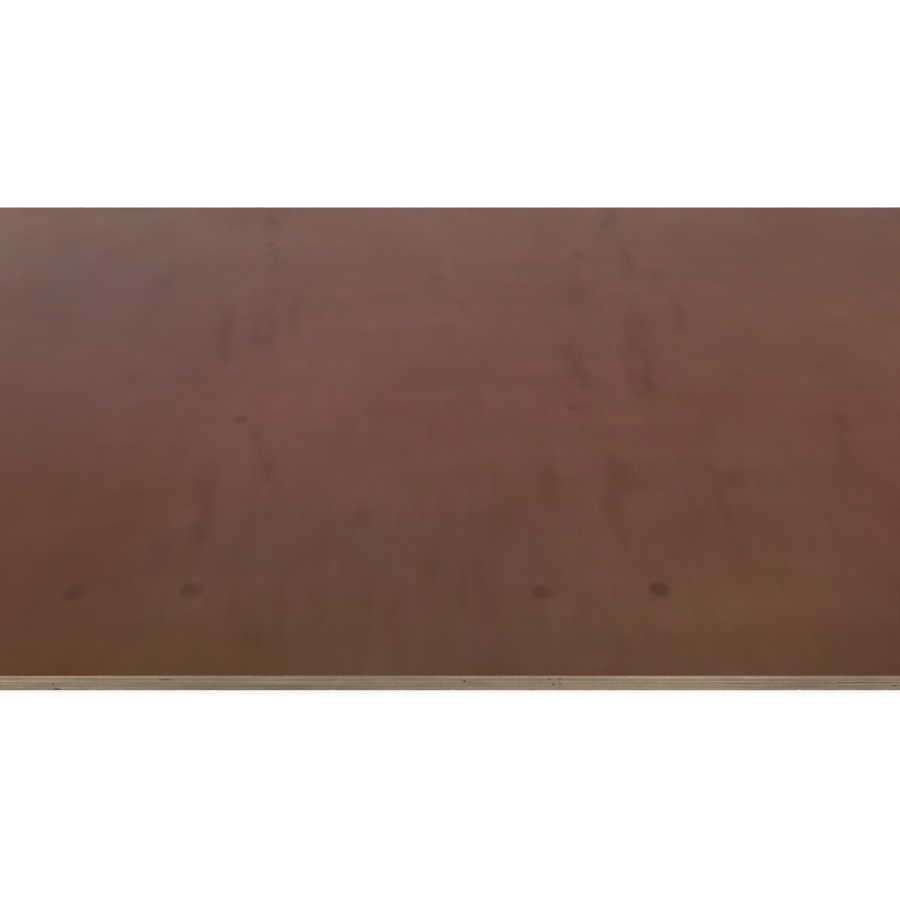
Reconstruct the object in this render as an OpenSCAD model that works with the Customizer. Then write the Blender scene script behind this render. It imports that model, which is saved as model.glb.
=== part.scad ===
// Film-faced plywood sheet, lying flat. Crossed wood veneers are pressed between two brown phenolic films,
// and the panel is sawn square on all four sides.
// Millimetres. The origin is the middle of the underside, X runs along the length and Z points up.

/* [Sheet] */
// Length of the sheet, along X
sheet_length = 2500; // [600:10:3660]
// Width of the sheet, along Y
sheet_width = 1250; // [300:10:1830]

/* [Layup] */
// Number of veneers, odd so that the layup is the same on both sides of its middle
veneer_count = 7; // [3:2:15]
// Pressed thickness of each of the two outer veneers
outer_veneer_thickness = 3.8; // [1:0.1:5]
// Pressed thickness of each veneer between them
inner_veneer_thickness = 1.98; // [1:0.02:4]
// Thickness of the film on each side
film_thickness = 0.25; // [0.1:0.05:0.6]

/* [Hidden] */
film_brown = "#6f4d42";
// Tone of a veneer whose grain runs across the sheet, like that of both outer veneers
outer_grain_tone = "#96826e";
// Tone of a veneer whose grain runs along the sheet
inner_grain_tone = "#83735f";

function veneer_name(number) = str("veneer_", number);
function veneer_thickness(number) =
    number == 1 || number == veneer_count ? outer_veneer_thickness : inner_veneer_thickness;
// Height of the underside of a veneer. The number after the last one gives the top of the whole stack.
function veneer_bottom(number) = number == 1
    ? film_thickness
    : veneer_bottom(number - 1) + veneer_thickness(number - 1);

// One layer of the sheet: the full sawn outline, from the height bottom upwards
module layer(bottom, thickness) {
    translate([-sheet_length / 2, -sheet_width / 2, bottom])
        cube([sheet_length, sheet_width, thickness]);
}

// Film under the sheet, which it rests on
module back_film() {
    color(film_brown) layer(0, film_thickness);
}

// One veneer, numbered from the back. The grain turns by a right angle from each veneer to the next.
module veneer(number) {
    tone = number % 2 == 1 ? outer_grain_tone : inner_grain_tone;
    color(tone) layer(veneer_bottom(number), veneer_thickness(number));
}

// Film on the upper face
module face_film() {
    color(film_brown) layer(veneer_bottom(veneer_count + 1), film_thickness);
}

back_film();
for (number = [1 : veneer_count])
    veneer(number);
face_film();
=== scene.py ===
"""Looks of a film-faced plywood sheet: brown film over veneer figure, raw sawn edges and a plain studio."""

import math
from collections import namedtuple
from functools import partial

import bpy
import numpy as np
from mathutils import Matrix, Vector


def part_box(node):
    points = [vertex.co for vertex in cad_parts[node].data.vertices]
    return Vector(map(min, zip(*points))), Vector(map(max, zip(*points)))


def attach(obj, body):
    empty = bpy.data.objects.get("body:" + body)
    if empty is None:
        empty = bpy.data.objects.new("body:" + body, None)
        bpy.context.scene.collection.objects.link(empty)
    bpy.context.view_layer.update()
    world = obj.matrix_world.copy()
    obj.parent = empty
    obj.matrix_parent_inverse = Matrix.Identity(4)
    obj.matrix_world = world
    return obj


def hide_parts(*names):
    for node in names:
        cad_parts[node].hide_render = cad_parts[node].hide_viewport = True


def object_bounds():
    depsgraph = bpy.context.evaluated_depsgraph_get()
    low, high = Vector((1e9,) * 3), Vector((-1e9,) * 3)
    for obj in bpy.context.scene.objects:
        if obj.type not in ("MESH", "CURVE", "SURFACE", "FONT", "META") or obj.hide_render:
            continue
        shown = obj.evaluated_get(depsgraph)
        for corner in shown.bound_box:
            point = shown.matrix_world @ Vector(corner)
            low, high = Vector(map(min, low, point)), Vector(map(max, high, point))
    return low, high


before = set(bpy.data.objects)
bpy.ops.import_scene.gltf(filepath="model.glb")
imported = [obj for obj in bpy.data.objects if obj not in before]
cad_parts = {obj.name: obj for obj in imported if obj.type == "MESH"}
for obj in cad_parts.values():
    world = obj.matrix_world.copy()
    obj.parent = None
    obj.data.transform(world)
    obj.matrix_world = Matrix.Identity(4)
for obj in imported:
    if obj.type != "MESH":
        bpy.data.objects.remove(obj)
cad_low, cad_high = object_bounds()

MM = 0.001
SEED = 20
LENGTH = cad_high.x - cad_low.x
WIDTH = cad_high.y - cad_low.y
THICKNESS = cad_high.z - cad_low.z

VENEERS = [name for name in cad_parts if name.startswith("veneer_")]
VENEERS.sort(key=lambda name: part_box(name)[0].z)
INNER_COUNT = len(VENEERS) - 2
# Height of the lowest glue joint, and thickness of each veneer between the two outer ones
FIRST_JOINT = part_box(VENEERS[0])[1].z
INNER_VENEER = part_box(VENEERS[1])[1].z - FIRST_JOINT


# Sides of the sheet

Side = namedtuple("Side", "start along inward length")
SIDES = {
    "front": Side((cad_low.x, cad_low.y), (1, 0), (0, 1), LENGTH),
    "right": Side((cad_high.x, cad_low.y), (0, 1), (-1, 0), WIDTH),
    "back": Side((cad_high.x, cad_high.y), (-1, 0), (0, -1), LENGTH),
    "left": Side((cad_low.x, cad_high.y), (0, -1), (1, 0), WIDTH),
}
LONG_SIDES = ("front", "back")


def side_number(name):
    return list(SIDES).index(name)


def smooth_noise(x, y, cell_x, cell_y, seed):
    """Soft random values from 0 to 1 over the places x, y, which change over about one cell."""
    columns, rows = x / cell_x, y / cell_y
    low_x, low_y = math.floor(columns.min()), math.floor(rows.min())
    shape = (math.ceil(columns.max()) - low_x + 2, math.ceil(rows.max()) - low_y + 2)
    values = np.random.default_rng(seed).random(shape)
    i = np.floor(columns).astype(int)
    j = np.floor(rows).astype(int)
    u, v = columns - i, rows - j
    u, v = u * u * (3 - 2 * u), v * v * (3 - 2 * v)
    i, j = i - low_x, j - low_y
    return (
        values[i, j] * (1 - u) * (1 - v)
        + values[i + 1, j] * u * (1 - v)
        + values[i, j + 1] * (1 - u) * v
        + values[i + 1, j + 1] * u * v
    )


# Hollows of the sawn edges

Hollow = namedtuple("Hollow", "along z width height depth")

# Hollows that show in the front edge: x and z of the middle, width, height and depth in millimetres
FRONT_HOLLOWS = (
    (13, 10.6, 3.0, 1.8, 1.2),
    (89, 13.2, 3.2, 1.3, 0.8),
    (98, 13.3, 3.4, 1.5, 0.9),
    (93, 7.0, 2.8, 1.4, 0.8),
    (99, 7.0, 3.4, 1.6, 0.9),
    (-354, 0.9, 7.0, 1.8, 1.2),
    (-255, 12.8, 11.0, 1.3, 1.2),
    (370, 9.2, 66.0, 0.9, 0.8),
    (400, 5.2, 5.0, 1.6, 1.0),
)

# Small pits all round: width in millimetres, and height and depth as shares of the width
PITS_PER_METRE = 9
PIT_WIDTHS = (1.0, 3.5)
PIT_HEIGHT = 0.4
PIT_DEPTH = 0.3
PIT_FROM_CORNER = 10 * MM

# Gaps of an inner veneer: distance from a corner as a share of the side, and width and depth in millimetres
GAPS_PER_SIDE = 3
GAP_FROM_CORNER = (0.02, 0.18)
GAP_WIDTHS = (3, 7)
GAP_DEPTHS = (2, 3)
GAP_HEIGHT = 0.9 * INNER_VENEER


def edge_hollows():
    """The hollows of each sawn side: those that show in front, and small pits and core gaps on every side."""
    rng = np.random.default_rng(SEED)
    found = {name: [] for name in SIDES}
    for x, z, width, height, depth in FRONT_HOLLOWS:
        found["front"].append(Hollow(x * MM - cad_low.x, z * MM, width * MM, height * MM, depth * MM))
    for name, side in SIDES.items():
        for _ in range(round(side.length * PITS_PER_METRE)):
            along = rng.uniform(PIT_FROM_CORNER, side.length - PIT_FROM_CORNER)
            z = rng.uniform(FIRST_JOINT, THICKNESS - FIRST_JOINT)
            width = rng.uniform(*PIT_WIDTHS) * MM
            found[name].append(Hollow(along, z, width, width * PIT_HEIGHT, width * PIT_DEPTH))
        for _ in range(GAPS_PER_SIDE):
            along = rng.uniform(*GAP_FROM_CORNER) * side.length
            if rng.random() < 0.5:
                along = side.length - along
            z = FIRST_JOINT + INNER_VENEER * (rng.integers(0, INNER_COUNT) + 0.5)
            width = rng.uniform(*GAP_WIDTHS) * MM
            depth = rng.uniform(*GAP_DEPTHS) * MM
            found[name].append(Hollow(along, z, width, GAP_HEIGHT, depth))
    return found


HOLLOWS = edge_hollows()

EDGE_STEP = 2.5 * MM
# Hollows narrower than this get vertices of their own, at these shares of their width
NARROW_HOLLOW = 20 * MM
ACROSS_HOLLOW = np.linspace(-0.75, 0.75, 11)


def side_places(name):
    """Places along a side where its edge has vertices: even steps, and closer ones across each hollow."""
    length = SIDES[name].length
    even = np.linspace(0, length, round(length / EDGE_STEP) + 1)
    narrow = [hollow for hollow in HOLLOWS[name] if hollow.width < NARROW_HOLLOW]
    close = [hollow.along + hollow.width * ACROSS_HOLLOW for hollow in narrow]
    places = np.unique(np.round(np.concatenate([even, *close]), 5))
    return places[(places >= 0) & (places <= length)]


PLACES = {name: side_places(name) for name in SIDES}

# The rim of a hollow wanders over cells of this size, and its place and slope are shares of the radius
RAGGED_CELL = (0.9 * MM, 0.6 * MM)
HOLLOW_RIM = 1.2
HOLLOW_SLOPE = 0.5


def hollow_share(name, z):
    """How deep each vertex of a side lies in a hollow, from 0 to 1, and that depth in metres."""
    along, height = np.meshgrid(PLACES[name], z, indexing="ij")
    ragged = smooth_noise(along, height, *RAGGED_CELL, SEED + 700) - 0.5
    share = np.zeros_like(along)
    depth = np.zeros_like(along)
    for hollow in HOLLOWS[name]:
        away_along = (along - hollow.along) / (hollow.width / 2)
        away_up = (height - hollow.z) / (hollow.height / 2)
        away = np.hypot(away_along, away_up)
        inside = np.clip((HOLLOW_RIM - away - ragged) / HOLLOW_SLOPE, 0, 1)
        share = np.maximum(share, inside)
        depth = np.maximum(depth, inside * hollow.depth)
    return share, depth


# Cut edges of the layers

# Depth of an unevenness, and the cell over which it changes: along and up on an edge, x and y on a face
Wear = namedtuple("Wear", "depth cell")
SWELL = Wear(0.10 * MM, (120 * MM, 10 * MM))
TORN_END_GRAIN = Wear(0.12 * MM, (3.4 * MM, 0.5 * MM))
TORN_LONG_GRAIN = Wear(0.10 * MM, (24 * MM, 0.4 * MM))
# Groove at each glue joint
GROOVE_DEPTH = 0.08 * MM
GROOVE_REACH = 0.3 * MM

# Waver and chips of the film's cut edge, with the chips' widths and depths in millimetres
FILM_WAVER = Wear(0.12 * MM, (9 * MM, THICKNESS))
CHIPS_PER_METRE = 7
CHIP_WIDTHS = (2, 6)
CHIP_DEPTHS = (0.2, 0.9)


def worn(wear, first, second, seed):
    return wear.depth * smooth_noise(first, second, *wear.cell, seed)


def sawn_veneer(number, name, z):
    """How far the sawn edge of a veneer lies inside the sheet's outline, and its share of hollow."""
    along, height = np.meshgrid(PLACES[name], z, indexing="ij")
    seed = SEED + 97 * number + 11 * side_number(name)
    end_grain = (number % 2 == 1) == (name in LONG_SIDES)
    swell = worn(SWELL, along, height, seed)
    if end_grain:
        torn = worn(TORN_END_GRAIN, along, height, seed + 1)
    else:
        torn = worn(TORN_LONG_GRAIN, along, height, seed + 2)
    from_joint = np.minimum(height - z.min(), z.max() - height)
    groove = GROOVE_DEPTH * np.clip(1 - from_joint / GROOVE_REACH, 0, 1)
    share, depth = hollow_share(name, z)
    return swell + torn + groove + depth, share


def sawn_film(number, name, z):
    """How far the film's cut edge lies inside the outline: nearly straight, with small chips."""
    along = PLACES[name]
    length = SIDES[name].length
    rng = np.random.default_rng(SEED + 500 + number + side_number(name))
    inset = worn(FILM_WAVER, along, 0 * along, SEED + 600 + number)
    for _ in range(round(length * CHIPS_PER_METRE)):
        middle = rng.uniform(0, length)
        width = rng.uniform(*CHIP_WIDTHS) * MM
        depth = rng.uniform(*CHIP_DEPTHS) * MM
        inset = np.maximum(inset, depth * np.clip(1 - np.abs(along - middle) / (width / 2), 0, 1))
    return np.repeat(inset[:, None], len(z), axis=1), np.zeros((len(along), len(z)))


# Meshes of the layers

# One face of a layer: the size of its grid's cells, and its relief. A glued face is hidden and plain.
Face = namedtuple("Face", "cell relief")
HIDDEN = Face(80 * MM, None)
# The grid of a face ends this far inside the outline
MARGIN = 12 * MM

SHARP_ANGLE = 35
# On the map each side is cut into rows, with a gap round every stretch
ROWS_PER_LONG_SIDE = 4
ROWS_PER_SHORT_SIDE = 2
MAP_GAP = 0.004
ROW_GAP = 0.1


def grid_line(low, high, cell):
    """Even places between the margins of the sheet, about one cell apart."""
    return np.linspace(low + MARGIN, high - MARGIN, round((high - low - 2 * MARGIN) / cell) + 1)


def stitch(outer, outer_at, inner, inner_at):
    """Triangles that fill the strip between two chains of vertices that run side by side."""
    faces = []
    a = b = 0
    while a + 1 < len(outer) or b + 1 < len(inner):
        outer_next = b + 1 == len(inner) or (a + 1 < len(outer) and outer_at[a + 1] <= inner_at[b + 1])
        if outer_next:
            faces.append((outer[a], outer[a + 1], inner[b]))
            a += 1
        else:
            faces.append((outer[a], inner[b + 1], inner[b]))
            b += 1
    return faces


class Layer:
    """The closed mesh of one layer of the sheet: sawn walls, and an upper and a lower face on a grid."""

    def __init__(self, node, rows, sawn, upper=HIDDEN, lower=HIDDEN):
        low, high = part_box(node)
        self.node = node
        self.low_z, self.high_z = low.z, high.z
        self.z = low.z + (high.z - low.z) * np.array(rows)
        self.vertices = []
        self.hollow = []
        self.faces = []
        self.kinds = []
        self.count = 0
        ring = self.walls(sawn)
        self.grid_face(ring, high.z, upper, top=True)
        self.grid_face(ring, low.z, lower, top=False)

    def add(self, points, hollow):
        """Adds vertices and gives the number of the first one."""
        first = self.count
        self.vertices.append(np.asarray(points, float))
        self.hollow.append(np.asarray(hollow, float))
        self.count += len(points)
        return first

    def walls(self, sawn):
        """The sawn sides. Gives each side's columns of vertices, from one corner to the next."""
        names = list(SIDES)
        firsts = {}
        for k, name in enumerate(names):
            side = SIDES[name]
            inset, share = sawn(name, self.z)
            inward = np.repeat(np.array(side.inward, float)[None, :], len(inset), axis=0)
            inward[0] += SIDES[names[k - 1]].inward
            base = np.array(side.start) + PLACES[name][:, None] * np.array(side.along)
            flat = base[:, None, :] + inset[:, :, None] * inward[:, None, :]
            height = np.broadcast_to(self.z, inset.shape)
            points = np.dstack([flat, height])[:-1].reshape(-1, 3)
            firsts[name] = self.add(points, share[:-1].ravel())
        rows = len(self.z)
        ring = {}
        for k, name in enumerate(names):
            columns = [firsts[name] + i * rows for i in range(len(PLACES[name]) - 1)]
            columns.append(firsts[names[(k + 1) % len(names)]])
            ring[name] = columns
            for left, right in zip(columns, columns[1:]):
                for r in range(rows - 1):
                    self.faces.append((left + r, right + r, right + r + 1, left + r + 1))
                    self.kinds.append(name)
        return ring

    def grid_face(self, ring, z, face, top):
        """The upper or lower face: an even grid inside, and a strip that joins it to the sawn walls."""
        x = grid_line(cad_low.x, cad_high.x, face.cell)
        y = grid_line(cad_low.y, cad_high.y, face.cell)
        grid_x, grid_y = np.meshgrid(x, y, indexing="ij")
        inside = face.relief(grid_x, grid_y) if face.relief else 0 * grid_x
        grid_z = z - inside if top else z + inside
        first = self.add(np.dstack([grid_x, grid_y, grid_z]).reshape(-1, 3), np.zeros(grid_x.size))
        index = first + np.arange(grid_x.size).reshape(grid_x.shape)
        chains = {
            "front": (index[:, 0], x),
            "right": (index[-1, :], y),
            "back": (index[::-1, -1], x[::-1]),
            "left": (index[0, ::-1], y[::-1]),
        }
        row = len(self.z) - 1 if top else 0
        made = []
        for name, side in SIDES.items():
            inner, at = chains[name]
            start = side.start[0] if name in LONG_SIDES else side.start[1]
            outer = [column + row for column in ring[name]]
            made += stitch(outer, PLACES[name], inner, (at - start) * sum(side.along))
        quads = (index[:-1, :-1], index[1:, :-1], index[1:, 1:], index[:-1, 1:])
        made += np.stack([corner.ravel() for corner in quads], axis=1).tolist()
        self.faces += [tuple(corners) if top else tuple(reversed(corners)) for corners in made]
        self.kinds += ["upper" if top else "lower"] * len(made)

    def build(self, wall_share, lower_share):
        """Makes the object. The shares are the parts of its map that the walls and the lower face take up."""
        mesh = bpy.data.meshes.new(self.node)
        points = np.concatenate(self.vertices)
        mesh.from_pydata(points.tolist(), [], self.faces)
        mesh.polygons.foreach_set("use_smooth", [True] * len(mesh.polygons))
        mesh.set_sharp_from_angle(angle=math.radians(SHARP_ANGLE))
        hollow = mesh.attributes.new("hollow", "FLOAT", "POINT")
        hollow.data.foreach_set("value", np.concatenate(self.hollow).astype(np.float32))
        uv = self.lay_out(points, wall_share, lower_share)
        layer = mesh.uv_layers.new(name="OFBake")
        layer.data.foreach_set("uv", uv.astype(np.float32).ravel())
        mesh.update()
        piece = bpy.data.objects.new(self.node + "_piece", mesh)
        bpy.context.scene.collection.objects.link(piece)
        return piece

    def lay_out(self, points, wall_share, lower_share):
        """Each corner's place on the map: rows of the sides, then the lower face, then the upper one."""
        counts = np.array([len(face) for face in self.faces])
        starts = np.cumsum(counts) - counts
        owner = np.repeat(np.arange(len(counts)), counts)
        kinds = np.array(self.kinds)
        corner_kind = kinds[owner]
        place = points[np.concatenate([np.array(face) for face in self.faces])]
        uv = np.zeros((len(place), 2))

        faces_from = wall_share + lower_share
        bands = {"lower": (wall_share, faces_from), "upper": (faces_from, 1.0)}
        flat = (place[:, :2] - [cad_low.x, cad_low.y]) / [LENGTH, WIDTH]
        for kind, (low, high) in bands.items():
            on = corner_kind == kind
            uv[on, 0] = MAP_GAP + (1 - 2 * MAP_GAP) * flat[on, 0]
            uv[on, 1] = low + MAP_GAP + (high - low - 2 * MAP_GAP) * flat[on, 1]

        row_height = wall_share / (2 * (ROWS_PER_LONG_SIDE + ROWS_PER_SHORT_SIDE))
        rise = (place[:, 2] - self.low_z) / (self.high_z - self.low_z)
        first_row = 0
        for name, side in SIDES.items():
            on = corner_kind == name
            mine = kinds == name
            rows = ROWS_PER_LONG_SIDE if name in LONG_SIDES else ROWS_PER_SHORT_SIDE
            along = (place[on, :2] - side.start) @ np.array(side.along) / side.length * rows
            middle = np.add.reduceat(along, np.searchsorted(np.flatnonzero(on), starts[mine])) / counts[mine]
            row = np.floor(middle)[owner[on] - owner[on].min()]
            uv[on, 0] = MAP_GAP + (1 - 2 * MAP_GAP) * np.clip(along - row, 0, 1)
            uv[on, 1] = (first_row + row + ROW_GAP + (1 - 2 * ROW_GAP) * rise[on]) * row_height
            first_row += rows
        return uv


# Node helpers


def linear(hex_colour):
    """A colour written as red, green and blue bytes, in linear values."""
    shares = [int(hex_colour[k:k + 2], 16) / 255 for k in (0, 2, 4)]
    return tuple(c / 12.92 if c <= 0.04045 else ((c + 0.055) / 1.055) ** 2.4 for c in shares)


# Noise with a scale of its own along each axis, in waves per metre
Noise = namedtuple("Noise", "scale detail roughness")
# As the noise goes over the span, the value goes from the first one to the second
Tone = namedtuple("Tone", "noise span values")


class Nodes:
    """Short ways to make and link the nodes of one material or world."""

    def __init__(self, tree):
        self.tree = tree
        tree.nodes.clear()

    def new(self, kind, inputs=None, **settings):
        """A node with its settings, and with a value or a link on each of the named inputs."""
        node = self.tree.nodes.new(kind)
        for name, value in settings.items():
            setattr(node, name, value)
        for name, value in (inputs or {}).items():
            self.put(node.inputs[name], value)
        return node

    def put(self, socket, value):
        if isinstance(value, bpy.types.NodeSocket):
            self.tree.links.new(value, socket)
        elif hasattr(socket.default_value, "__len__") and len(socket.default_value) == 4:
            socket.default_value = (*value, 1.0)
        else:
            socket.default_value = value

    def math(self, operation, *values):
        return self.new("ShaderNodeMath", dict(enumerate(values)), operation=operation).outputs[0]

    def vector(self, operation, *values, output="Vector"):
        return self.new("ShaderNodeVectorMath", dict(enumerate(values)), operation=operation).outputs[output]

    def ramp(self, value, low, high, to_low=0.0, to_high=1.0):
        """Rises or falls smoothly from to_low to to_high as value goes from low to high."""
        inputs = {"Value": value, "From Min": low, "From Max": high, "To Min": to_low, "To Max": to_high}
        return self.new("ShaderNodeMapRange", inputs, interpolation_type="SMOOTHSTEP").outputs[0]

    def mix(self, share, first, second, blend="MIX"):
        inputs = {0: share, 6: first, 7: second}
        return self.new("ShaderNodeMix", inputs, data_type="RGBA", blend_type=blend).outputs[2]

    def noise(self, place, noise, output="Fac"):
        inputs = {
            "Vector": self.vector("MULTIPLY", place, noise.scale),
            "Scale": 1.0,
            "Detail": noise.detail,
            "Roughness": noise.roughness,
        }
        return self.new("ShaderNodeTexNoise", inputs).outputs[output]

    def tone(self, place, tone):
        return self.ramp(self.noise(place, tone.noise), *tone.span, *tone.values)

    def toned(self, place, tones, light=1.0):
        """The light times all the tones, and each tone's noise by name."""
        noises = {}
        for name, tone in tones.items():
            noises[name] = self.noise(place, tone.noise)
            light = self.math("MULTIPLY", light, self.ramp(noises[name], *tone.span, *tone.values))
        return light, noises

    def stray(self, place, noise, reach):
        """A place that the noise's three values move about, by half the reach each way."""
        back = tuple(-distance / 2 for distance in reach)
        return self.vector("ADD", place, self.vector("MULTIPLY_ADD", noise, reach, back))

    def away(self, place, x, y, width, length, lean=0.0):
        """How far a place lies from the middle of an oval on the sheet, in shares of the oval's radius."""
        inputs = {
            "Vector": place,
            "Location": (x, y, 0),
            "Rotation": (0, 0, math.radians(lean)),
            "Scale": (width / 2, length / 2, 1),
        }
        scaled = self.new("ShaderNodeMapping", inputs, vector_type="TEXTURE").outputs[0]
        return self.vector("LENGTH", scaled, output="Value")

    def spot(self, away, edge=0.0, inside=1.0, outside=0.0):
        """Fades from inside to outside over an oval's rim, starting at edge, a share of its radius."""
        return self.ramp(away, edge, 2.0 - edge, inside, outside)

    def surface(self, inputs, height, bump):
        """The surface of the material, with fine bumps where the height changes."""
        normal = self.new("ShaderNodeBump", {**bump, "Height": height}).outputs[0]
        shader = self.new("ShaderNodeBsdfPrincipled", {**inputs, "Normal": normal})
        self.new("ShaderNodeOutputMaterial", {"Surface": shader.outputs[0]})


def new_material(name):
    material = bpy.data.materials.new(name)
    material.use_nodes = True
    return material, Nodes(material.node_tree)


# Film

Knot = namedtuple("Knot", "x y diameter darkness edge")
Mark = namedtuple("Mark", "x y width length lean darkness")
Tint = namedtuple("Tint", "x y width length factor")

# Knots of the outer veneer that show dark through the face film: place and diameter in metres, darkness, and
# the share of the radius where the dark begins to fade
KNOTS = (
    Knot(-0.369, -0.515, 0.017, 0.21, 0.1),
    Knot(-0.256, -0.509, 0.021, 0.27, 0.5),
    Knot(0.091, -0.512, 0.019, 0.25, 0.5),
    Knot(0.208, -0.507, 0.021, 0.28, 0.7),
    Knot(-0.321, 0.428, 0.020, 0.32, 0.6),
    Knot(0.221, 0.377, 0.024, 0.24, 0.6),
    Knot(-0.264, -0.180, 0.017, 0.22, 0.6),
    Knot(0.159, -0.150, 0.015, 0.17, 0.6),
)

# Figure of the outer veneer: place, width and length in metres, lean in degrees, and darkness, below 0 where
# the veneer is light
FIGURE = (
    Mark(-0.332, 0.560, 0.034, 0.160, 7, 0.17),
    Mark(-0.388, 0.560, 0.040, 0.100, 0, 0.07),
    Mark(-0.304, 0.350, 0.026, 0.110, 4, 0.09),
    Mark(-0.280, 0.250, 0.022, 0.130, 3, 0.06),
    Mark(-0.470, 0.250, 0.030, 0.140, 4, 0.05),
    Mark(-0.338, 0.090, 0.020, 0.190, 10, 0.10),
    Mark(-0.275, 0.085, 0.034, 0.130, 8, 0.13),
    Mark(-0.237, 0.120, 0.016, 0.130, 4, 0.10),
    Mark(-0.221, -0.270, 0.017, 0.120, 20, 0.08),
    Mark(-0.284, -0.315, 0.022, 0.090, 6, 0.10),
    Mark(-0.268, -0.405, 0.020, 0.080, 6, 0.12),
    Mark(-0.300, -0.450, 0.024, 0.060, 0, 0.06),
    Mark(0.298, 0.555, 0.036, 0.160, -14, 0.16),
    Mark(0.302, 0.340, 0.028, 0.120, -2, 0.13),
    Mark(0.338, 0.284, 0.034, 0.050, 0, 0.09),
    Mark(0.206, 0.240, 0.040, 0.150, 0, 0.09),
    Mark(0.150, 0.280, 0.034, 0.080, 0, 0.05),
    Mark(0.272, 0.000, 0.040, 0.250, -4, 0.14),
    Mark(0.259, -0.097, 0.026, 0.060, 0, 0.08),
    Mark(0.350, 0.135, 0.020, 0.120, -6, 0.09),
    Mark(0.175, -0.034, 0.025, 0.110, 4, 0.13),
    Mark(0.115, -0.300, 0.018, 0.120, 0, 0.06),
    Mark(0.194, -0.290, 0.022, 0.120, -4, 0.08),
    Mark(0.181, -0.400, 0.018, 0.100, 0, 0.09),
    Mark(0.488, -0.215, 0.022, 0.100, -12, 0.09),
    Mark(0.331, -0.310, 0.024, 0.030, 0, 0.08),
    Mark(0.300, -0.360, 0.018, 0.080, 0, 0.05),
    Mark(-0.025, 0.285, 0.028, 0.180, 0, 0.06),
    Mark(-0.430, -0.065, 0.030, 0.030, 0, 0.06),
    Mark(-0.190, -0.580, 0.024, 0.030, 0, 0.04),
    Mark(-0.300, -0.572, 0.030, 0.030, 0, 0.06),
    Mark(-0.350, -0.534, 0.050, 0.030, 0, -0.04),
    Mark(-0.248, -0.534, 0.050, 0.030, 0, -0.05),
    Mark(0.108, -0.534, 0.040, 0.030, 0, -0.03),
    Mark(0.238, -0.528, 0.060, 0.050, 0, -0.05),
)

# Broad tints of the face film: place, width and length in metres, and factors for red, green and blue
TINTS = (
    Tint(0.00, -0.66, 1.60, 0.45, (0.72, 1.03, 1.18)),
    Tint(-0.05, -0.05, 0.80, 0.60, (1.05, 1.10, 1.60)),
    Tint(-0.50, -0.50, 0.40, 0.40, (0.80, 0.60, 0.35)),
    Tint(0.28, -0.55, 0.26, 0.16, (1.25, 1.30, 1.24)),
    Tint(-0.60, 0.25, 0.50, 0.70, (0.80, 0.85, 1.15)),
    Tint(0.75, 0.55, 0.50, 0.46, (0.87, 0.69, 0.30)),
    Tint(-0.36, -0.65, 0.50, 0.14, (0.95, 0.85, 0.40)),
    Tint(-0.06, -0.31, 0.50, 0.22, (1.00, 1.09, 1.18)),
    Tint(-0.09, -0.44, 0.32, 0.13, (0.92, 0.97, 1.03)),
    Tint(0.46, -0.57, 0.20, 0.20, (0.75, 0.65, 0.58)),
    Tint(0.20, -0.64, 1.10, 0.10, (0.96, 1.02, 1.00)),
    Tint(-0.52, -0.18, 0.30, 0.26, (0.92, 0.92, 0.97)),
    Tint(0.34, -0.30, 0.24, 0.16, (0.91, 0.99, 1.00)),
    Tint(-1.15, -0.20, 0.45, 0.40, (0.90, 1.10, 1.25)),
    Tint(-0.95, -0.60, 0.30, 0.25, (1.10, 0.90, 0.85)),
    Tint(0.90, -0.15, 0.45, 0.35, (1.05, 1.10, 1.35)),
    Tint(1.15, 0.30, 0.35, 0.50, (0.90, 1.00, 1.05)),
    Tint(1.00, -0.60, 0.35, 0.22, (1.10, 0.90, 0.95)),
)

# The back has knots of its own, and part of the face's figure turned over, squeezed, moved along and paler
BACK_MARKS = 20
BACK_SQUEEZE = 0.9
BACK_SHIFT = 0.12
BACK_STRENGTH = 0.8
BACK_KNOTS = (
    Knot(-0.31, 0.22, 0.018, 0.20, 0.5),
    Knot(0.12, -0.36, 0.022, 0.22, 0.6),
    Knot(0.36, 0.41, 0.016, 0.18, 0.4),
)
BACK_FIGURE = tuple(
    mark._replace(
        x=mark.x * BACK_SQUEEZE + BACK_SHIFT,
        y=-mark.y,
        lean=-mark.lean,
        darkness=mark.darkness * BACK_STRENGTH,
    )
    for mark in FIGURE[:BACK_MARKS]
)

# The log was peeled round and round, so the figure comes back along the sheet at this distance
PEEL_REPEAT = 1.19
FIGURE_STRENGTH = 1.5
FIGURE_RAGGED = Noise((45, 16, 0), 3.0, 0.6)
FIGURE_STRAY = (18 * MM, 50 * MM, 0)
FIGURE_BLOTCH = Tone(Noise((60, 18, 0), 3.0, 0.6), (0.25, 0.75), (0.3, 1.5))
KNOT_STRAY = (2 * MM, 2 * MM, 0)
# Angle in radians that the growth rings of a knot turn through over one radius
RING_TURNS = 26.0
RING_STRENGTH = 0.1

FILM_BROWN = linear("6b3c28")
GREENER = (0.97, 1.03, 0.955)
REDDER = (1.03, 0.97, 1.055)
HUE = Tone(Noise((26, 12, 0), 2.0, 0.5), (0.32, 0.68), (0.0, 1.0))
TINT_DRIFT = Noise((2.5, 2.5, 0), 1.0, 0.5)
TINT_STRAY = (120 * MM, 120 * MM, 0)
FILM_TONES = {
    "cloud": Tone(Noise((5, 3, 0), 3.0, 0.55), (0.3, 0.7), (0.94, 1.06)),
    "mottle": Tone(Noise((38, 15, 0), 4.0, 0.6), (0.25, 0.75), (0.955, 1.045)),
    "grain": Tone(Noise((240, 6, 0), 3.0, 0.6), (0.2, 0.8), (0.96, 1.04)),
    "rolled": Tone(Noise((4, 22, 0), 3.0, 0.6), (0.3, 0.7), (0.968, 1.032)),
    "pores": Tone(Noise((1100, 20, 0), 2.0, 0.6), (0.55, 0.75), (1.0, 0.92)),
}
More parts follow.
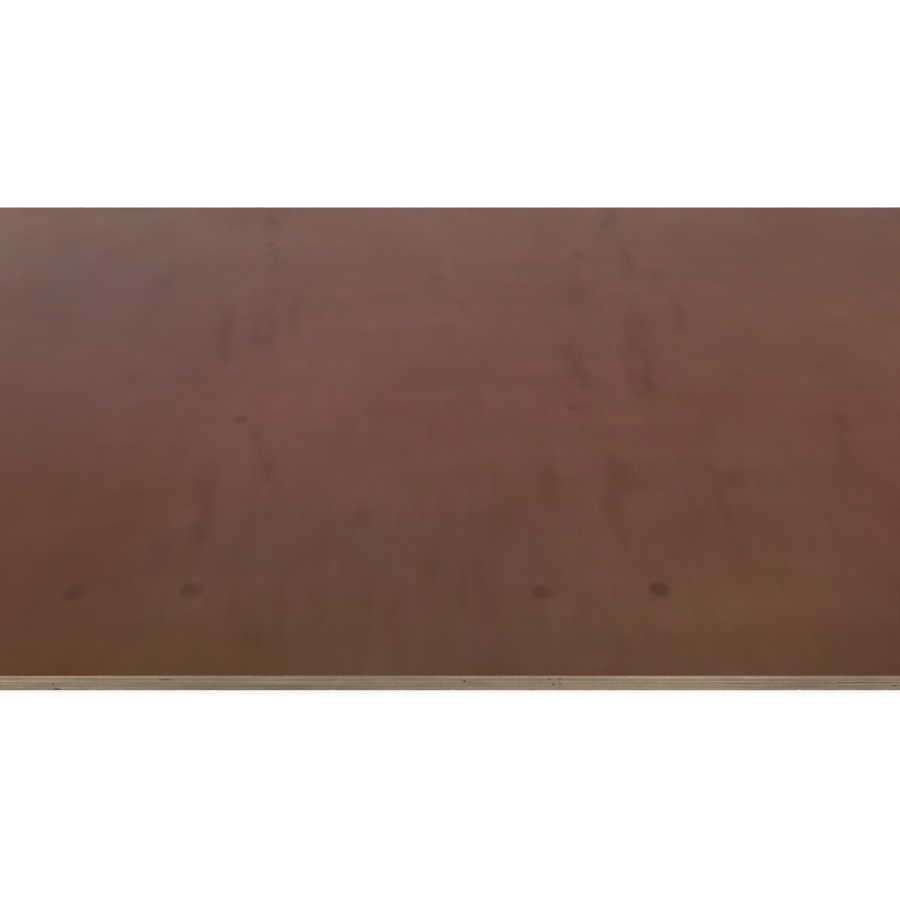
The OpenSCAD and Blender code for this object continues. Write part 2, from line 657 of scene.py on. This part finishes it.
# The film is clearest in red, so where the veneer is darker green and blue fall faster
GREEN_POWER = 1.6
BLUE_POWER = 2.4

FILM_IOR = 1.5
FILM_ROUGHNESS = Tone(Noise((9, 5, 0), 4.0, 0.6), (0.3, 0.7), (0.30, 0.40))
FILM_PEEL = Noise((420, 160, 0), 2.0, 0.5)
FILM_GRAIN = 0.6
FILM_BUMP = {"Strength": 0.25, "Distance": 0.06 * MM}

# Relief of the film: the veneer's waves and grain, and the dip at a knot, which reaches past its radius
VENEER_WAVE = Wear(0.05 * MM, (70 * MM, 300 * MM))
VENEER_GRAIN = Wear(0.03 * MM, (16 * MM, 140 * MM))
KNOT_DIP = 0.05 * MM
KNOT_REACH = 1.4


def film_relief(knots, seed, x, y):
    """How far the film lies below its flat: the veneer's waves, its grain, and a dip at each knot."""
    dip = np.zeros_like(x)
    for knot in knots:
        away = np.hypot(x - knot.x, y - knot.y) / (knot.diameter / 2)
        dip = np.maximum(dip, KNOT_DIP * np.clip(KNOT_REACH - away, 0, 1))
    return worn(VENEER_WAVE, x, y, seed) + worn(VENEER_GRAIN, x, y, seed + 1) + dip


def film_darkness(nodes, flat, shifted, knots, figure):
    """How dark the veneer's figure and knots show through the film."""
    period = (PEEL_REPEAT / 2, WIDTH, THICKNESS)
    peeled = nodes.vector("WRAP", flat, period, tuple(-half for half in period))
    ragged = nodes.noise(shifted, FIGURE_RAGGED, "Color")
    loose = nodes.stray(peeled, ragged, FIGURE_STRAY)
    dark = 0.0
    for mark in figure:
        spot = nodes.spot(nodes.away(loose, mark.x, mark.y, mark.width, mark.length, mark.lean))
        dark = nodes.math("MULTIPLY_ADD", spot, mark.darkness * FIGURE_STRENGTH, dark)
    dark = nodes.math("MULTIPLY", dark, nodes.tone(shifted, FIGURE_BLOTCH))
    near = nodes.stray(peeled, ragged, KNOT_STRAY)
    for knot in knots:
        away = nodes.away(near, knot.x, knot.y, knot.diameter, knot.diameter)
        wave = nodes.math("SINE", nodes.math("MULTIPLY", away, RING_TURNS))
        rings = nodes.math("MULTIPLY_ADD", wave, RING_STRENGTH, 1.0)
        spot = nodes.math("MULTIPLY", nodes.spot(away, knot.edge), rings)
        dark = nodes.math("MULTIPLY_ADD", spot, knot.darkness, dark)
    return dark


def film_colour(nodes, flat, shifted, tints):
    """The film's brown, which wavers between a greener and a redder hue, under its broad tints."""
    hues = [tuple(np.multiply(FILM_BROWN, factor)) for factor in (GREENER, REDDER)]
    colour = nodes.mix(nodes.tone(shifted, HUE), *hues)
    cloudy = nodes.stray(flat, nodes.noise(shifted, TINT_DRIFT, "Color"), TINT_STRAY)
    for tint in tints:
        spot = nodes.spot(nodes.away(cloudy, tint.x, tint.y, tint.width, tint.length))
        colour = nodes.mix(spot, colour, tint.factor, "MULTIPLY")
    return colour


def film_material(name, knots, figure, tints, offset):
    """Satin film over peeled veneer, with knots and figure. The offset gives each film noise of its own."""
    material, nodes = new_material(name)
    place = nodes.new("ShaderNodeTexCoord").outputs["Object"]
    shifted = nodes.vector("ADD", place, (offset, offset, 0))
    flat = nodes.vector("MULTIPLY", place, (1, 1, 0))

    clear = nodes.math("SUBTRACT", 1.0, film_darkness(nodes, flat, shifted, knots, figure))
    light, noises = nodes.toned(shifted, FILM_TONES, clear)
    green = nodes.math("POWER", light, GREEN_POWER)
    blue = nodes.math("POWER", light, BLUE_POWER)
    shade = nodes.new("ShaderNodeCombineXYZ", {"X": light, "Y": green, "Z": blue}).outputs[0]
    colour = nodes.vector("MULTIPLY", film_colour(nodes, flat, shifted, tints), shade)

    rough = nodes.tone(shifted, FILM_ROUGHNESS)
    height = nodes.math("MULTIPLY_ADD", noises["grain"], FILM_GRAIN, nodes.noise(shifted, FILM_PEEL))
    nodes.surface({"Base Color": colour, "Roughness": rough, "IOR": FILM_IOR}, height, FILM_BUMP)
    return material


# Veneer

LIGHT_VENEER = linear("94806b")
DARK_VENEER = linear("86735d")
WEATHERED_GREY = linear("857662")
GLUE_BROWN = linear("5a4733")
# Brown of the painted shade inside the hollows of the sawn edges
HOLLOW_SHADE_BROWN = linear("54432f")

# Scale of the fibres, in waves per metre across and along the grain, and most of their noise's range
FIBRE_ACROSS = 1300
FIBRE_ALONG = 22
FIBRE_SPAN = (0.3, 0.7)
VENEER_TONES = {
    "rings": Tone(Noise((9, 9, 1500), 2.0, 0.5), (0.3, 0.7), (0.88, 1.10)),
    "tone": Tone(Noise((3.5, 3.5, 420), 3.0, 0.6), (0.3, 0.7), (0.86, 1.12)),
    "stain": Tone(Noise((26, 26, 120), 4.0, 0.6), (0.35, 0.75), (1.05, 0.86)),
    "teeth": Tone(Noise((700, 700, 8), 1.0, 0.5), (0.3, 0.7), (0.97, 1.03)),
}
BLUSH = Tone(Noise((6, 6, 190), 2.0, 0.5), (0.35, 0.65), (0.0, 1.0))
BLUSH_HUES = ((0.93, 1.02, 0.94), (1.06, 0.985, 1.01))
# Broad light and dark zones of the front edge: x and width in metres, and what the light is multiplied by
Zone = namedtuple("Zone", "x width factor")
FRONT_ZONES = (
    Zone(-0.37, 0.14, 1.07),
    Zone(-0.14, 0.27, 0.88),
    Zone(0.05, 0.10, 1.06),
    Zone(0.20, 0.14, 1.18),
    Zone(0.34, 0.14, 0.90),
)
ZONE_LENGTH = 0.2
# The edge is grey low down: the share of grey, which is gone by three quarters of the sheet's height
WEATHERED_SHARE = 0.7
WEATHERED_HEIGHTS = (0.25 * THICKNESS, 0.75 * THICKNESS)
# Half thickness of a glue line, in inner veneers, where its edge fades, and how much of the wood it covers
GLUE_HALF = Tone(Noise((60, 60, 300), 2.0, 0.6), (0.3, 0.7), (0.04, 0.11))
GLUE_FADE = (0.6, 1.2)
GLUE_COVER = 0.75
# Painted shade in the hollows: it is frayed along the fibres, and dark over this span of their depth
HOLLOW_SHADE_FRAY = (0.6, 1.4)
HOLLOW_SHADE_SPAN = (0.15, 0.85)
HOLLOW_SHADE_COVER = 0.75
VENEER_SPECULAR = 0.3
VENEER_ROUGHNESS = (0.72, 0.88)
VENEER_TEETH = 0.5
VENEER_BUMP = {"Strength": 0.5, "Distance": 0.2 * MM}


def glue_share(nodes, place, height):
    """How much glue shows: most on each joint between two veneers, and none away from them."""
    plies = nodes.math("DIVIDE", nodes.math("SUBTRACT", height, FIRST_JOINT), INNER_VENEER)
    middle = INNER_COUNT / 2
    from_middle = nodes.math("ABSOLUTE", nodes.math("SUBTRACT", plies, middle))
    outside = nodes.math("SUBTRACT", from_middle, middle)
    from_glue = nodes.math("MAXIMUM", nodes.math("PINGPONG", plies, 0.5), outside)
    from_glue = nodes.math("DIVIDE", from_glue, nodes.tone(place, GLUE_HALF))
    return nodes.ramp(from_glue, *GLUE_FADE, GLUE_COVER, 0.0)


def veneer_material(name, colour, along_x):
    """Raw sawn veneer, solid-textured so that each side shows end grain or long grain as it is cut."""
    material, nodes = new_material(name)
    place = nodes.new("ShaderNodeTexCoord").outputs["Object"]
    height = nodes.new("ShaderNodeSeparateXYZ", {0: place}).outputs["Z"]
    in_plane = (FIBRE_ALONG, FIBRE_ACROSS) if along_x else (FIBRE_ACROSS, FIBRE_ALONG)
    fibre_tone = Tone(Noise((*in_plane, FIBRE_ACROSS), 3.0, 0.65), (0.25, 0.75), (0.84, 1.14))
    light, noises = nodes.toned(place, {"fibre": fibre_tone, **VENEER_TONES})
    fibre = noises["fibre"]
    for zone in FRONT_ZONES:
        away = nodes.away(place, zone.x, cad_low.y, zone.width, ZONE_LENGTH)
        light = nodes.math("MULTIPLY", light, nodes.spot(away, inside=zone.factor, outside=1.0))

    weathered = nodes.ramp(height, *WEATHERED_HEIGHTS, WEATHERED_SHARE, 0.0)
    wood = nodes.mix(weathered, colour, WEATHERED_GREY)
    wood = nodes.mix(1.0, wood, nodes.mix(nodes.tone(place, BLUSH), *BLUSH_HUES), "MULTIPLY")
    wood = nodes.mix(glue_share(nodes, place, height), wood, GLUE_BROWN)
    # Painted shade: the wood is darkened inside each hollow of the sawn edge, more where the hollow is deeper
    hollow = nodes.new("ShaderNodeAttribute", attribute_name="hollow").outputs["Fac"]
    hollow_shade = nodes.math("MULTIPLY", hollow, nodes.ramp(fibre, *FIBRE_SPAN, *HOLLOW_SHADE_FRAY))
    wood = nodes.mix(nodes.ramp(hollow_shade, *HOLLOW_SHADE_SPAN, 0.0, HOLLOW_SHADE_COVER), wood, HOLLOW_SHADE_BROWN)
    shaded = nodes.new("ShaderNodeVectorMath", {0: wood, "Scale": light}, operation="SCALE").outputs[0]

    rough = nodes.ramp(fibre, *FIBRE_SPAN, *VENEER_ROUGHNESS)
    grooves = nodes.math("MULTIPLY_ADD", noises["teeth"], VENEER_TEETH, fibre)
    inputs = {"Base Color": shaded, "Roughness": rough, "Specular IOR Level": VENEER_SPECULAR}
    nodes.surface(inputs, grooves, VENEER_BUMP)
    return material


# Pieces

# Heights of the rows of vertices on the walls, as shares of the layer's thickness
FILM_ROWS = (0.0, 1.0)
VENEER_ROWS = (0.0, 0.12, 0.3, 0.5, 0.7, 0.88, 1.0)
FACE_CELL = 7 * MM
BACK_CELL = 10 * MM
# Shares of the map for the walls and the lower face of each kind of layer
FACE_FILM_MAP = (0.05, 0.02)
BACK_FILM_MAP = (0.05, 0.93)
VENEER_MAP = (0.80, 0.10)


def dress(layer, map_shares, material):
    """Puts a layer's piece in place of its node."""
    piece = layer.build(*map_shares)
    piece.data.materials.append(material)
    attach(piece, "root")
    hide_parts(layer.node)


def make_films():
    """The films on both faces, each with relief on the side that shows."""
    face_brown = film_material("face_film_brown", KNOTS, FIGURE, TINTS, offset=3.1)
    back_brown = film_material("back_film_brown", BACK_KNOTS, BACK_FIGURE, (), offset=17.7)
    face_side = Face(FACE_CELL, partial(film_relief, KNOTS, SEED))
    back_side = Face(BACK_CELL, partial(film_relief, BACK_KNOTS, SEED + 40))
    face_layer = Layer("face_film", FILM_ROWS, partial(sawn_film, 0), upper=face_side)
    back_layer = Layer("back_film", FILM_ROWS, partial(sawn_film, 9), lower=back_side)
    dress(face_layer, FACE_FILM_MAP, face_brown)
    dress(back_layer, BACK_FILM_MAP, back_brown)


def make_veneers():
    """The veneers, whose grain turns by a right angle from each to the next."""
    outer_wood = veneer_material("outer_grain_wood", LIGHT_VENEER, along_x=False)
    inner_wood = veneer_material("inner_grain_wood", DARK_VENEER, along_x=True)
    for number, node in enumerate(VENEERS, start=1):
        layer = Layer(node, VENEER_ROWS, partial(sawn_veneer, number))
        if number % 2 == 1:
            dress(layer, VENEER_MAP, outer_wood)
        else:
            dress(layer, VENEER_MAP, inner_wood)


# Studio

FLOOR_RADIUS = 30.0
FLOOR_CORNERS = 96
FLOOR_GAP = 0.2 * MM
FLOOR_WHITE = (0.97, 0.97, 0.97)

# The sky's strength on the left and right, what is left of it overhead, and the heights over which it changes
SKY_LEFT = 0.50
SKY_RIGHT = 0.16
SKY_SPREAD = 0.7
SKY_OVERHEAD = 0.40
OVERHEAD_FADE = (0.3, 0.7)
HORIZON_WHITE = 1.0
HORIZON_FADE = (0.16, 0.32)
# A broad soft light, high up in front
KEY_LIGHT = 2.54
KEY_ELEVATION = math.radians(70)
KEY_FADE = (0.6, 1.0)

CAMERA_PLACE = (0.0, -1.268, 0.668)
CAMERA_PITCH_DOWN = 32.59
CAMERA_LENS = 40.0
CAMERA_SENSOR = 36.0


def make_floor():
    """A plain white round floor, just under the sheet."""
    mesh = bpy.data.meshes.new("floor")
    turns = [2 * math.pi * k / FLOOR_CORNERS for k in range(FLOOR_CORNERS)]
    z = cad_low.z - FLOOR_GAP
    rim = [(FLOOR_RADIUS * math.cos(turn), FLOOR_RADIUS * math.sin(turn), z) for turn in turns]
    mesh.from_pydata(rim, [], [tuple(range(len(rim)))])
    material, nodes = new_material("floor_white")
    shader = nodes.new("ShaderNodeBsdfDiffuse", {"Color": FLOOR_WHITE})
    nodes.new("ShaderNodeOutputMaterial", {"Surface": shader.outputs[0]})
    mesh.materials.append(material)
    floor = bpy.data.objects.new("floor", mesh)
    bpy.context.scene.collection.objects.link(floor)


def make_world():
    """A soft dome: grey, brighter to the left, white at the horizon, with a broad light high up in front."""
    world = bpy.data.worlds.new("studio")
    bpy.context.scene.world = world
    world.use_nodes = True
    nodes = Nodes(world.node_tree)
    towards = nodes.new("ShaderNodeTexCoord").outputs["Generated"]
    parts = nodes.new("ShaderNodeSeparateXYZ", {0: towards}).outputs
    sky = nodes.ramp(parts["X"], -SKY_SPREAD, SKY_SPREAD, SKY_LEFT, SKY_RIGHT)
    sky = nodes.math("MULTIPLY", sky, nodes.ramp(parts["Z"], *OVERHEAD_FADE, 1.0, SKY_OVERHEAD))
    horizon = nodes.ramp(parts["Z"], *HORIZON_FADE, 1.0, 0.0)
    sky = nodes.math("MULTIPLY_ADD", horizon, nodes.math("SUBTRACT", HORIZON_WHITE, sky), sky)
    key_from = (0.0, -math.cos(KEY_ELEVATION), math.sin(KEY_ELEVATION))
    key_side = nodes.vector("DOT_PRODUCT", towards, key_from, output="Value")
    strength = nodes.math("ADD", nodes.ramp(key_side, *KEY_FADE, 0.0, KEY_LIGHT), sky)
    background = nodes.new("ShaderNodeBackground", {"Color": (1, 1, 1), "Strength": strength})
    nodes.new("ShaderNodeOutputWorld", {"Surface": background.outputs[0]})


def make_camera():
    """The photograph's view: over one long side, looking down along the sheet's width."""
    camera = bpy.data.objects.new("camera", bpy.data.cameras.new("camera"))
    camera.data.lens = CAMERA_LENS
    camera.data.sensor_width = CAMERA_SENSOR
    camera.data.clip_start = 10 * MM
    camera.location = CAMERA_PLACE
    camera.rotation_euler = (math.radians(90 - CAMERA_PITCH_DOWN), 0, 0)
    bpy.context.scene.collection.objects.link(camera)
    bpy.context.scene.camera = camera


make_films()
make_veneers()
make_floor()
make_world()
make_camera()
bpy.context.scene.view_settings.view_transform = "Standard"
